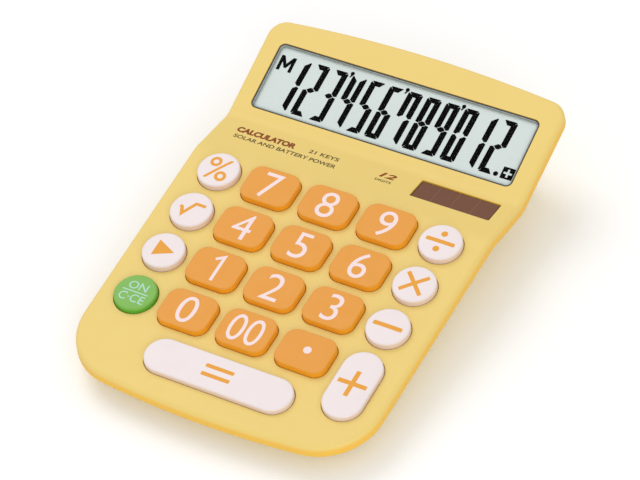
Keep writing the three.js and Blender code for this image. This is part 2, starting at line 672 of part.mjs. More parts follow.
const toDesk = (x, y, z) => {
  const turnedPoint = alongDeck(y, z);
  return [x, turnedPoint.y + deck.position.y, turnedPoint.z + deck.position.z];
};
const BATTERY_LEAD_TOP = CONTACT_TOP + WIRE_RADIUS + GAP;
const LEAD_END = BOARD_UNDERSIDE - WIRE_RADIUS - 0.1;
for (const [name, startX, side, material] of [
  ['battery_lead_black', BATTERY.x, 1, BLACK_WIRE],
  ['battery_lead_red', SIDE_CONTACT_X, -1, RED_WIRE],
]) {
  addPart(calculator, name, wire([
    [startX, BATTERY.y, BATTERY_LEAD_TOP],
    [startX + side, BATTERY.y - 3, BATTERY_LEAD_TOP - 0.5],
    [5 * side, BATTERY.y - 14, BATTERY_LEAD_TOP - 1],
    [7 * side, BATTERY.y - 30, BATTERY_LEAD_TOP - 3],
    toDesk(8 * side, -12, LEAD_END - 3),
    toDesk(8 * side, -18, LEAD_END),
  ]), material);
}
const SOLAR_LEADS = [['solar_lead_red', 51, RED_WIRE], ['solar_lead_black', 54, BLACK_WIRE]];
for (const [name, x, material] of SOLAR_LEADS) {
  addPart(deck, name, wire([
    [x, 14, -8.2],
    [x, 12, -10.5],
    [x, 6, -12.6],
    [x, -4, -12.4],
    [x, -9, LEAD_END - 0.2],
  ]), material);
}

export default calculator;
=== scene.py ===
"""Looks of a desk calculator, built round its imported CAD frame.

Shapes are worked out in millimetres in the keypad plane (origin on the fold line, Z out of the surface)
and placed in the row frame in metres. Slopes, window and key sizes repeat the CAD's driving dimensions.
"""

import math

import bmesh
import bpy
from mathutils import Matrix, Vector
from mathutils.geometry import delaunay_2d_cdt


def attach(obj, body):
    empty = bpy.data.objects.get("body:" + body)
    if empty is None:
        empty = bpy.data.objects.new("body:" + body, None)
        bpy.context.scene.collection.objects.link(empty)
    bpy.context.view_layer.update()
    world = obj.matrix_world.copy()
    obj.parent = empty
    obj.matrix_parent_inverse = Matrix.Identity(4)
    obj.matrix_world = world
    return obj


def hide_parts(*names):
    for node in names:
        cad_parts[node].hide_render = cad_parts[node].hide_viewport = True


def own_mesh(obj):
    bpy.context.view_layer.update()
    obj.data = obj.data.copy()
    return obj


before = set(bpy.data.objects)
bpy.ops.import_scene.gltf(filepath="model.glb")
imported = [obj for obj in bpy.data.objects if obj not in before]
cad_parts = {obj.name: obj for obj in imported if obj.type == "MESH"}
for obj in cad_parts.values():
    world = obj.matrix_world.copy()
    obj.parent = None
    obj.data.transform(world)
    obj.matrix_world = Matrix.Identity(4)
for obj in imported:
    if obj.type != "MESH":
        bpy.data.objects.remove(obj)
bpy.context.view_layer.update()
scene = bpy.context.scene
scene.view_settings.view_transform = "Standard"

# ---- Dimensions, in millimetres ----
TILT = math.radians(7)
BAND_SLOPE = math.radians(-15)
DISPLAY_SLOPE = math.radians(13.9)
VALLEY_Y = 24
FOLD_EASE = 2.4
VALLEY_EASE = 2.2
SKIN = 2
GAP = 0.3
RIM_DEPTH = 5
DECK_ORIGIN = (0, 20.14326, 27.18593)
CASE = {
    "half": 64, "front": -112.3, "front_bow": 5, "front_r": 23.8,
    "back": 71.3, "back_bow": 3.5, "back_r": 7.8,
}
CASE_TAPER = 0.0002
BASE = {"half": 53, "front": -106.5, "front_bow": 4, "front_r": 20, "back": 60, "back_bow": 3, "back_r": 12}
BASE_TAPER = -0.0012
BASE_HEIGHT = 1.5
BILGE_HEIGHT = 4.5
FLOOR_HEIGHT = BASE_HEIGHT + SKIN

COLUMN, ROW, FIRST_ROW, SIDE_X = 25, 21.3, -9, 47.8
NUMBER = {"x": 10.6, "y": 8.35, "r": 4.8, "h": 2.6}
ROUND = {"x": 8.5, "y": 8.5, "r": 8.5, "h": 2.8}
CLEAR = {"x": 8.5, "y": 8.5, "r": 8.5, "h": 2.2}
TALL_PILL = {"x": 8, "y": 15.4, "r": 8, "h": 2.4}
WIDE_PILL = {"x": 30.8, "y": 7.7, "r": 7.7, "h": 2.4}
FLANGE = 0.9
FLANGE_THICKNESS = 1.1

WINDOW = {"x": 57, "y": 14.99, "r": 2.6}
WINDOW_CENTRE = (0, 20.55)
SOLAR_WINDOW = {"x": 16.75, "y": 5.54, "r": 0.6}
SOLAR_CENTRE = (40.75, 16.51)
LENS_LOW, LENS_HIGH, FACE = -1.1, -0.3, -1.4

BOARD_TOP = -8.3
MAT_TOP = -7
DOME_TOP = -3.7
BOSS_BOTTOM = -5
PILLAR_TOP = BOSS_BOTTOM - GAP
CASE_SCREWS = [(sx * x, y) for x, y in ((36.5, -98), (37.5, -40.95)) for sx in (1, -1)]
BOARD_SCREWS = [(sx * 12.5, y) for y in (FIRST_ROW - ROW / 2, FIRST_ROW - 2.5 * ROW) for sx in (1, -1)]
FEET = [("front_left", -44, -70), ("front_right", 44, -70), ("back_left", -36, 64), ("back_right", 36, 64)]
BATTERY = (0, 52)
DOOR_CENTRE = (4, 52)
DOOR_SCREW = (14.6, 52)
CELL_LOW = FLOOR_HEIGHT + GAP
CELL_HIGH = CELL_LOW + 5.4

DESK = Matrix.Scale(0.001, 4)
DECK = DESK @ Matrix.Translation(DECK_ORIGIN) @ Matrix.Rotation(TILT, 4, "X")
VALLEY = (0, VALLEY_Y, VALLEY_Y * math.tan(BAND_SLOPE))
ON_DECK_DISPLAY = Matrix.Translation(VALLEY) @ Matrix.Rotation(DISPLAY_SLOPE, 4, "X")
ON_DECK_BAND = Matrix.Rotation(BAND_SLOPE, 4, "X")
DISPLAY = DECK @ ON_DECK_DISPLAY
BAND = DECK @ ON_DECK_BAND


# ---- Materials ----
def srgb(r, g, b):
    def linear(c):
        c /= 255
        return c / 12.92 if c <= 0.04045 else ((c + 0.055) / 1.055) ** 2.4

    return (linear(r), linear(g), linear(b), 1)


def mixed(nodes, links, factor, a, b):
    mix = nodes.new("ShaderNodeMix")
    mix.data_type = "RGBA"
    for socket, value in (("A", a), ("B", b)):
        index = {"A": 6, "B": 7}[socket]
        if isinstance(value, tuple):
            mix.inputs[index].default_value = value
        else:
            links.new(value, mix.inputs[index])
    if isinstance(factor, float):
        mix.inputs[0].default_value = factor
    else:
        links.new(factor, mix.inputs[0])
    return mix.outputs[2]


def ranged(nodes, links, value, low, high, to_low, to_high):
    node = nodes.new("ShaderNodeMapRange")
    node.inputs[1].default_value, node.inputs[2].default_value = low, high
    node.inputs[3].default_value, node.inputs[4].default_value = to_low, to_high
    links.new(value, node.inputs[0])
    return node.outputs[0]


def noise(nodes, links, coords, scale, detail=3):
    node = nodes.new("ShaderNodeTexNoise")
    node.inputs["Scale"].default_value = scale
    node.inputs["Detail"].default_value = detail
    links.new(coords, node.inputs["Vector"])
    return node.outputs["Fac"]


def moulded(
    name, colour, painted_shading=None, rough=0.4, grain=2600, depth=0.00001, vary=0.05,
    metal=0.0, specular=0.5, coat=0.0, scratch=0.0,
):
    """A moulded or pressed surface: cloudy tone, uneven gloss, fine grain, and painted shade: a second tone
    on the sides and walls marked by a vertex mask, standing in for shade and bounce light.
    """
    made = bpy.data.materials.new(name)
    made.use_nodes = True
    nodes, links = made.node_tree.nodes, made.node_tree.links
    bsdf = nodes["Principled BSDF"]
    coords = nodes.new("ShaderNodeTexCoord").outputs["Object"]
    base = colour
    # Painted shading: where the vertex mask is set, the second colour stands in for how shade and bounce
    # light colour sides, skirts and recess walls.
    if painted_shading:
        attribute = nodes.new("ShaderNodeAttribute")
        attribute.attribute_name = "painted_shading"
        base = mixed(nodes, links, attribute.outputs["Fac"], colour, painted_shading)
    cloud = ranged(nodes, links, noise(nodes, links, coords, 28, 4), 0.3, 0.7, 0.0, vary)
    toned = mixed(nodes, links, cloud, base, tuple(c * 0.72 for c in colour[:3]) + (1,))
    speck = ranged(nodes, links, noise(nodes, links, coords, 1700, 2), 0.62, 0.85, 0.0, vary * 2)
    toned = mixed(nodes, links, speck, toned, tuple(min(1, c * 1.15 + 0.02) for c in colour[:3]) + (1,))
    links.new(toned, bsdf.inputs["Base Color"])
    gloss = ranged(nodes, links, noise(nodes, links, coords, 190, 5), 0.3, 0.7, rough - 0.05, rough + 0.06)
    links.new(gloss, bsdf.inputs["Roughness"])
    height = noise(nodes, links, coords, grain, 2)
    bump = nodes.new("ShaderNodeBump")
    bump.inputs["Strength"].default_value = 0.5
    bump.inputs["Distance"].default_value = depth
    links.new(height, bump.inputs["Height"])
    if scratch:
        stretch = nodes.new("ShaderNodeMapping")
        stretch.inputs["Scale"].default_value = (1, 14, 1)
        links.new(coords, stretch.inputs["Vector"])
        lines = noise(nodes, links, stretch.outputs["Vector"], 900, 2)
        second = nodes.new("ShaderNodeBump")
        second.inputs["Strength"].default_value = scratch
        second.inputs["Distance"].default_value = depth
        links.new(lines, second.inputs["Height"])
        links.new(bump.outputs["Normal"], second.inputs["Normal"])
        bump = second
    links.new(bump.outputs["Normal"], bsdf.inputs["Normal"])
    bsdf.inputs["Metallic"].default_value = metal
    bsdf.inputs["Specular IOR Level"].default_value = specular
    bsdf.inputs["Coat Weight"].default_value = coat
    bsdf.inputs["Coat Roughness"].default_value = 0.08
    return made


# Second colours are painted shade: the darker, more saturated tone of key skirts, case sides and hole walls
# in shade and warm bounce light.
YELLOW = moulded("yellow_plastic", srgb(225, 197, 115), srgb(228, 180, 66), rough=0.46, specular=0.25)
ORANGE = moulded("orange_plastic", srgb(219, 148, 56), srgb(232, 156, 32), rough=0.44, specular=0.25)
WHITE = moulded("white_plastic", srgb(225, 214, 213), srgb(222, 200, 184), rough=0.4, vary=0.02, specular=0.3)
GREEN = moulded("green_plastic", srgb(116, 172, 72), srgb(84, 166, 44), rough=0.38, specular=0.3)
PINK_PRINT = moulded("print_pale_pink", srgb(232, 211, 210), rough=0.5, vary=0.02, specular=0.3)
ORANGE_PRINT = moulded("print_orange", srgb(222, 152, 50), rough=0.5, vary=0.03, specular=0.25)
BLUE_PRINT = moulded("print_pale_blue", srgb(168, 208, 192), rough=0.5, vary=0.02, specular=0.3)
BROWN_PRINT = moulded("print_brown", srgb(132, 66, 8), rough=0.5, specular=0.25)
OLIVE_PRINT = moulded("print_olive", srgb(82, 68, 20), rough=0.5, specular=0.25)
INK = moulded(
    "display_segment", srgb(3, 2, 2), rough=0.5, grain=5200, depth=0.000001, vary=0.02, specular=0.02,
)
# Its second colour is painted shade, darkening the rim of the display face under the window edge.
LCD_PALE = moulded(
    "display_background", srgb(200, 210, 207), srgb(100, 104, 98), rough=0.42, grain=5200, depth=0.000003,
    vary=0.05, specular=0.3,
)
# Its second colour is painted shade on the plate and on the sides of the raised solar glass.
SOLAR_BROWN = moulded(
    "solar_film", srgb(108, 65, 42), srgb(60, 40, 20), rough=0.3, grain=900, depth=0.000004,
    vary=0.2, coat=0.15, specular=0.25,
)
SOLAR_LINE = moulded("solar_contact_line", srgb(128, 96, 76), rough=0.35, vary=0.1, specular=0.25)
# A painted shadow: the dark frame colour stands in for the shaded edge of the window, and its pale second
# colour paints the frame's lower part like the lit display.
SHADOW_SEAL = moulded("window_shadow_seal", srgb(72, 72, 68), srgb(190, 200, 197), rough=0.6, vary=0.15, specular=0.2)
RUBBER = moulded("foot_rubber", srgb(58, 56, 54), rough=0.85, grain=1900, depth=0.00004, vary=0.2)
SILICONE = moulded("key_mat_silicone", srgb(214, 212, 204), rough=0.7, grain=1500, depth=0.00002)
BOARD = moulded("board_laminate", srgb(44, 104, 58), rough=0.45, grain=1300, depth=0.00003, vary=0.3)
GREY = moulded("holder_plastic", srgb(140, 144, 146), rough=0.55)
AMBER = moulded("ribbon_film", srgb(184, 136, 72), rough=0.45, vary=0.2, scratch=0.5)
EPOXY = moulded("chip_epoxy", srgb(20, 20, 22), rough=0.35, grain=700, depth=0.00005, vary=0.3)
SLEEVE = moulded("capacitor_sleeve", srgb(42, 62, 104), rough=0.4, vary=0.15)
STEEL = moulded("screw_steel", srgb(186, 188, 192), rough=0.32, metal=1.0, vary=0.3, scratch=0.6)
BRASS = moulded("contact_metal", srgb(200, 176, 108), rough=0.32, metal=1.0, vary=0.3, scratch=0.6)
RED = moulded("lead_red", srgb(178, 40, 32), rough=0.5, vary=0.1)
BLACK = moulded("lead_black", srgb(28, 28, 30), rough=0.5, vary=0.1)

LENS = moulded("lens_clear", srgb(120, 124, 124), rough=0.1, grain=300, depth=0.000001, vary=0.02)
LENS.node_tree.nodes["Principled BSDF"].inputs["Alpha"].default_value = 0.004


# ---- Mesh tools ----
def add(name, mesh, material, body, replaces=(), sharp=32, bevel=0.0):
    mesh.name = name
    mesh.materials.clear()
    mesh.materials.append(material)
    for polygon in mesh.polygons:
        polygon.use_smooth = True
    mesh.set_sharp_from_angle(angle=math.radians(sharp))
    made = bpy.data.objects.new(name, mesh)
    scene.collection.objects.link(made)
    if bevel:
        rounding = made.modifiers.new("rounded_edges", "BEVEL")
        rounding.width = bevel
        rounding.segments = 2
        rounding.limit_method = "ANGLE"
        rounding.angle_limit = math.radians(40)
    weighted = made.modifiers.new("even_shading", "WEIGHTED_NORMAL")
    weighted.keep_sharp = True
    weighted.weight = 90
    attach(made, body)
    if replaces:
        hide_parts(*replaces)
    return made


def finished(bm, matrix, merge=1e-4):
    """The bmesh as a mesh, cleaned in millimetres and then placed in the row frame."""
    if merge:
        bmesh.ops.remove_doubles(bm, verts=bm.verts, dist=merge)
    bmesh.ops.recalc_face_normals(bm, faces=bm.faces)
    bm.transform(matrix)
    mesh = bpy.data.meshes.new("made")
    bm.to_mesh(mesh)
    bm.free()
    return mesh


def rounded(form, offset=0.0, centre=(0, 0), steps=10):
    """Rounded rectangle, counter-clockwise, grown outwards by offset."""
    points = []
    for sx, sy, start in ((1, 1, 0), (-1, 1, 1), (-1, -1, 2), (1, -1, 3)):
        for i in range(steps + 1):
            angle = (start + i / steps) * math.pi / 2
            x = sx * (form["x"] - form["r"]) + (form["r"] + offset) * math.cos(angle)
            y = sy * (form["y"] - form["r"]) + (form["r"] + offset) * math.sin(angle)
            points.append((centre[0] + x, centre[1] + y))
    return [p for i, p in enumerate(points) if math.dist(p, points[i - 1]) > 1e-3]


def strip(bm, a, b):
    count = len(a)
    return [bm.faces.new((a[i], a[(i + 1) % count], b[(i + 1) % count], b[i])) for i in range(count)]


# Per-vertex mask of painted shading, read by the materials to swap in their second colour.
def painted_shading_layer(bm):
    return bm.verts.layers.float.new("painted_shading")


def lofted(rings, painted_shading_marks=None, close=True):
    """A closed body through rings of 3D points, with its end rings filled."""
    bm = bmesh.new()
    layer = painted_shading_layer(bm)
    made = []
    for k, ring in enumerate(rings):
        verts = [bm.verts.new(p) for p in ring]
        for v in verts:
            v[layer] = painted_shading_marks[k] if painted_shading_marks else 0.0
        made.append(verts)
    for a, b in zip(made, made[1:]):
        strip(bm, a, b)
    if close:
        bm.faces.new(list(reversed(made[0])))
        bm.faces.new(made[-1])
    bm.normal_update()
    return bm


def at(points, z):
    return [(x, y, z) for x, y in points]


def prism(points, low, high):
    return lofted([at(points, low), at(points, high)])


def circle(radius, centre=(0, 0), sides=32):
    turn = 2 * math.pi / sides
    x, y = centre
    return [(x + radius * math.cos(i * turn), y + radius * math.sin(i * turn)) for i in range(sides)]


def turned(profile, centre=(0, 0, 0), sides=32):
    """A body of revolution through (radius, height) pairs; its first and last points may lie on the axis."""
    rings = [[(x, y, z) for x, y in circle(max(r, 0.02), sides=sides)] for r, z in profile]
    bm = lofted(rings)
    bmesh.ops.translate(bm, vec=centre, verts=bm.verts)
    return bm


def joined(parts):
    """Several bmeshes in one."""
    whole = bmesh.new()
    layer = painted_shading_layer(whole)
    for part in parts:
        source = part.verts.layers.float.get("painted_shading")
        verts = {}
        for v in part.verts:
            verts[v] = whole.verts.new(v.co)
            verts[v][layer] = v[source] if source else 0.0
        for f in part.faces:
            whole.faces.new([verts[v] for v in f.verts])
        part.free()
    whole.normal_update()
    return whole


def combined(base, others, operation):
    """base joined with or cut by each of others, all in millimetres."""
    def loose(bm, name):
        bmesh.ops.remove_doubles(bm, verts=bm.verts, dist=1e-5)
        bmesh.ops.recalc_face_normals(bm, faces=bm.faces)
        mesh = bpy.data.meshes.new(name)
        bm.to_mesh(mesh)
        bm.free()
        made = bpy.data.objects.new(name, mesh)
        scene.collection.objects.link(made)
        return made

    target = loose(base, "target")
    tools = [loose(other, "tool") for other in others]
    for tool in tools:
        cut = target.modifiers.new("cut", "BOOLEAN")
        cut.operation = operation
        cut.solver = "EXACT"
        cut.object = tool
    bpy.context.view_layer.update()
    graph = bpy.context.evaluated_depsgraph_get()
    bm = bmesh.new()
    bm.from_object(target, graph)
    for made in [target, *tools]:
        mesh = made.data
        bpy.data.objects.remove(made)
        bpy.data.meshes.remove(mesh)
    return bm


# ---- Case outline and folded surface ----
def lerp(a, b, t):
    return a + (b - a) * t


def eased(y, fold, ease):
    u = y - fold
    if u <= -ease:
        return 0
    return u if u >= ease else (u + ease) ** 2 / (4 * ease)


def surface(y):
    """Height of the top surface over the keypad plane, with both folds eased."""
    first = math.tan(BAND_SLOPE)
    second = math.tan(DISPLAY_SLOPE) - first
    return first * eased(y, 0, FOLD_EASE) + second * eased(y, VALLEY_Y, VALLEY_EASE)


FOLD_LINES = [FOLD_EASE * k / 4 for k in range(-4, 5)]
FOLD_LINES += [VALLEY_Y + VALLEY_EASE * k / 4 for k in range(-4, 5)]
SIDE_LEVELS = sorted(FOLD_LINES + [-80, -70, -60, -50, -40, -30, -20, -10, 7, 12, 17, 30, 36, 42, 48, 54])


def outline(size, inset, taper, corner=12, bow=14):
    """The case outline as arcs and tapering sides, counter-clockwise from the middle of the front."""
    half = size["half"] - inset

    def bow_radius(value):
        return (half**2 + value**2) / (2 * value)

    front_bow, back_bow = bow_radius(size["front_bow"]), bow_radius(size["back_bow"])
    front_centre = size["front"] + inset + front_bow
    back_centre = size["back"] - inset - back_bow
    front_r, back_r = size["front_r"] - inset, size["back_r"] - inset
    front_x, back_x = half - front_r, half - back_r
    front_y = front_centre - math.sqrt((front_bow - front_r) ** 2 - front_x**2)
    back_y = back_centre + math.sqrt((back_bow - back_r) ** 2 - back_x**2)
    front_angle = math.atan2(front_y - front_centre, front_x)
    back_angle = math.atan2(back_y - back_centre, back_x)
    right = []

    def arc(x, y, radius, start, stop, steps):
        for i in range(steps + 1):
            angle = lerp(start, stop, i / steps)
            right.append((x + radius * math.cos(angle), y + radius * math.sin(angle)))

    arc(0, front_centre, front_bow, -math.pi / 2, front_angle, bow)
    right.pop()
    arc(front_x, front_y, front_r, front_angle, 0, corner)
    squeeze = min(1, (back_y - 31) / (SIDE_LEVELS[-1] - 30))
    right.extend((half, y if y <= 30 else 30 + (y - 30) * squeeze) for y in SIDE_LEVELS)
    arc(back_x, back_y, back_r, 0, back_angle, corner)
    right.pop()
    arc(0, back_centre, back_bow, back_angle, math.pi / 2, bow)
    left = [(-x, y) for x, y in reversed(right[1:-1])]
    return [(x * (1 + taper * (y + 15)), y) for x, y in right + left]


def case_ring(inset, z):
    return [(x, y, surface(y) + z) for x, y in outline(CASE, inset, CASE_TAPER)]


def inside(point, polygon):
    x, y = point
    odd = False
    for (ax, ay), (bx, by) in zip(polygon, polygon[1:] + polygon[:1]):
        if (ay > y) != (by > y) and x < (bx - ax) * (y - ay) / (by - ay) + ax:
            odd = not odd
    return odd


# ---- Keys ----
KEYS = []
for row, labels in enumerate((("7", "8", "9"), ("4", "5", "6"), ("1", "2", "3"), ("0", "00", "point"))):
    for column, label in enumerate(labels):
        KEYS.append((label, NUMBER, ((column - 1) * COLUMN, FIRST_ROW - row * ROW)))
for side, labels in ((-1, ("percent", "root", "back", "clear")), (1, ("divide", "times", "minus"))):
    for row, label in enumerate(labels):
        KEYS.append((label, CLEAR if label == "clear" else ROUND, (side * SIDE_X, FIRST_ROW - row * ROW)))
KEYS.append(("plus", TALL_PILL, (SIDE_X, -79.4)))
KEYS.append(("equals", WIDE_PILL, (0, -94.2)))

EDGE = {"number": 0.6, "round": 0.9}
DOME = {"number": 0.07, "round": 0.22}


def kind(form):
    return "number" if form is NUMBER else "round"


def cap_height(form, x, y):
    """Height of a key's crowned top at a point measured from its centre."""
    edge, dome = EDGE[kind(form)], DOME[kind(form)]
    inner_x, inner_y = form["x"] - form["r"], form["y"] - form["r"]
    reach = math.hypot(max(abs(x) - inner_x, 0), max(abs(y) - inner_y, 0)) / (form["r"] - edge)
    if form is NUMBER:
        reach = max(abs(x) / (form["x"] - edge), abs(y) / (form["y"] - edge), reach * 0.9)
    return form["h"] - dome * min(1, reach) ** 2.4


def keycap(form):
    """A cap with an eased top edge, a crowned top, and the flange that keeps it under the case."""
    edge, dome = EDGE[kind(form)], DOME[kind(form)]
    flange = -SKIN - GAP
    rings, painted_shading_marks = [], []

    def ring(offset, z, painted_shading):
        rings.append(at(rounded(form, offset), z))
        painted_shading_marks.append(painted_shading)

    # The last value marks painted shade: 1 on the flange and sides, fading out over the eased edge, 0 on the
    # crowned top.
    ring(FLANGE - 0.3, flange - FLANGE_THICKNESS, 1)
    ring(FLANGE, flange - FLANGE_THICKNESS + 0.3, 1)
    ring(FLANGE, flange, 1)
    ring(0, flange, 1)
    shoulder = form["h"] - dome - edge
    for z in (0, shoulder * 0.5, shoulder):
        ring(-0.08 * max(0, z) / shoulder, z, 1)
    for k in range(1, 8):
        angle = k / 7 * math.pi / 2
        inset = 0.08 + (edge - 0.08) * (1 - math.cos(angle))
        ring(-inset, shoulder + edge * math.sin(angle), 1 - min(1, k / 4))
    outer = rounded(form, -edge)
    for scale in (0.96, 0.88, 0.76, 0.6, 0.42, 0.22, 0.04):
        rings.append([(x * scale, y * scale, cap_height(form, x * scale, y * scale)) for x, y in outer])
        painted_shading_marks.append(0)
    return lofted(rings, painted_shading_marks)


def key_matrix(centre):
    return DECK @ Matrix.Translation((centre[0], centre[1], 0))


KEY_LOOK = {"clear": (GREEN, "key_green")}
for label, form, centre in KEYS:
    material, slot = (ORANGE, "key_orange") if form is NUMBER else KEY_LOOK.get(label, (WHITE, "key_white"))
    node = f"key_{label}"
    add(f"cap_{label}", finished(keycap(form), key_matrix(centre)), material, node, [node], sharp=50)


# ---- Legends ----
def lettering(text, height, x_scale=1.0, weight=0.0, slant=0.0, width=None):
    """Flat lettering as a mesh in millimetres, centred on its own box, 1 mm thick."""
    curve = bpy.data.curves.new("lettering", "FONT")
    curve.body = text
    curve.size = 10
    curve.offset = weight
    curve.extrude = 0.5
    curve.shear = slant
    curve.resolution_u = 5
    source = bpy.data.objects.new("lettering", curve)
    scene.collection.objects.link(source)
    bpy.context.view_layer.update()
    mesh = bpy.data.meshes.new_from_object(source.evaluated_get(bpy.context.evaluated_depsgraph_get()))
    bpy.data.objects.remove(source)
    bm = bmesh.new()
    bm.from_mesh(mesh)
    bpy.data.meshes.remove(mesh)
    bmesh.ops.remove_doubles(bm, verts=bm.verts, dist=1e-4)
    low = [min(v.co[i] for v in bm.verts) for i in range(2)]
    high = [max(v.co[i] for v in bm.verts) for i in range(2)]
    scale = height / (high[1] - low[1])
    across = width / (high[0] - low[0]) if width else scale * x_scale
    for v in bm.verts:
        v.co.x = (v.co.x - (low[0] + high[0]) / 2) * across
        v.co.y = (v.co.y - (low[1] + high[1]) / 2) * scale
    return bm


def bars(*boxes):
    """Rectangles (centre x, centre y, half x, half y, turn in degrees) as thin slabs."""
    parts = []
    for x, y, half_x, half_y, turn in boxes:
        radius = min(half_x, half_y) * 0.5
        form = {"x": half_x, "y": half_y, "r": radius}
        slab = prism(rounded(form, 0, steps=4), -0.5, 0.5)
        slab.transform(Matrix.Translation((x, y, 0)) @ Matrix.Rotation(math.radians(turn), 4, "Z"))
        parts.append(slab)
    return joined(parts)


def stroke(points, width):
    """A line of even width through points, with mitred corners."""
    left, right = [], []
    for i, p in enumerate(points):
        before = Vector(p) - Vector(points[i - 1]) if i else None
        after = Vector(points[i + 1]) - Vector(p) if i < len(points) - 1 else None
        directions = [d.normalized() for d in (before, after) if d]
        along = sum(directions, Vector((0, 0))).normalized()
        normal = Vector((-along.y, along.x))
        reach = width / 2 / max(0.4, normal.dot(Vector((-directions[0].y, directions[0].x))))
        left.append(tuple(Vector(p) + normal * reach))
        right.append(tuple(Vector(p) - normal * reach))
    return prism(right + list(reversed(left)), -0.5, 0.5)


def cross(reach, arm, turn):
    """A plus sign, turned by some degrees."""
    corner = [(arm, arm), (reach, arm), (reach, -arm)]
    points = []
    for quarter in (0, -90, -180, -270):
        spin = Matrix.Rotation(math.radians(quarter + turn), 2)
        points += [tuple(spin @ Vector(p)) for p in corner]
    return prism(list(reversed(points)), -0.5, 0.5)


def fine(bm, longest=0.9):
    """Splits long edges, so that a flat shape can follow a crowned one."""
    bmesh.ops.triangulate(bm, faces=bm.faces)
    for _ in range(6):
        level = [e for e in bm.edges if abs(e.verts[0].co.z - e.verts[1].co.z) < 0.1]
        long_edges = [e for e in level if e.calc_length() > longest]
        if not long_edges:
            break
        bmesh.ops.subdivide_edges(bm, edges=long_edges, cuts=1)
        bmesh.ops.triangulate(bm, faces=bm.faces)
    return bm


def dot(radius, x, y):
    return prism(circle(radius, (x, y), 24), -0.5, 0.5)


LEGENDS = {label: lettering(label, 12.2, 0.98, -0.03) for label in "023456789"}
LEGENDS["1"] = stroke([(-1.9, 3.6), (1.1, 5.6), (1.1, -6.1)], 1.3)
LEGENDS["00"] = lettering("00", 12.2, 0.84, -0.03)
LEGENDS["point"] = dot(1.6, 0.6, 0.5)
LEGENDS["percent"] = lettering("%", 10.8, 1.0, 0.05)
LEGENDS["root"] = stroke([(-4.6, 0.2), (-3.7, -0.3), (-2.4, -3.2), (0.9, 2.8), (5.0, 2.8)], 1.35)
LEGENDS["back"] = prism([(-3.3, -3.8), (4.8, 0), (-3.3, 3.8)], -0.5, 0.5)
UPPER, LOWER = lettering("ON", 3.6, 1.05, 0.05), lettering("C·CE", 3.6, 1.0, 0.05)
bmesh.ops.translate(UPPER, vec=(0, 2.8, 0), verts=UPPER.verts)
bmesh.ops.translate(LOWER, vec=(0, -2.8, 0), verts=LOWER.verts)
LEGENDS["clear"] = joined([UPPER, bars((0, 0, 5.4, 0.25, 0)), LOWER])
LEGENDS["divide"] = joined([bars((0, 0, 5.9, 0.85, 0)), dot(1.3, 0, 3.7), dot(1.3, 0, -3.7)])
LEGENDS["times"] = cross(6.1, 0.8, 45)
LEGENDS["minus"] = bars((0, 0, 5.9, 0.9, 0))
LEGENDS["plus"] = cross(5.8, 0.9, 0)
LEGENDS["equals"] = bars((0, 1.9, 5.9, 0.8, 0), (0, -1.9, 5.9, 0.8, 0))


def printed(bm, form):
    """Legend laid on a crowned key top, standing a few hundredths proud."""
    for v in bm.verts:
        top = cap_height(form, v.co.x, v.co.y)
        v.co.z = top + (0.03 if v.co.z > 0 else -0.25)
    return bm


for label, form, centre in KEYS:
    legend = fine(LEGENDS[label])
    ink = PINK_PRINT if form is NUMBER else BLUE_PRINT if label == "clear" else ORANGE_PRINT
    add(f"legend_{label}", finished(printed(legend, form), key_matrix(centre), merge=0), ink, f"key_{label}")


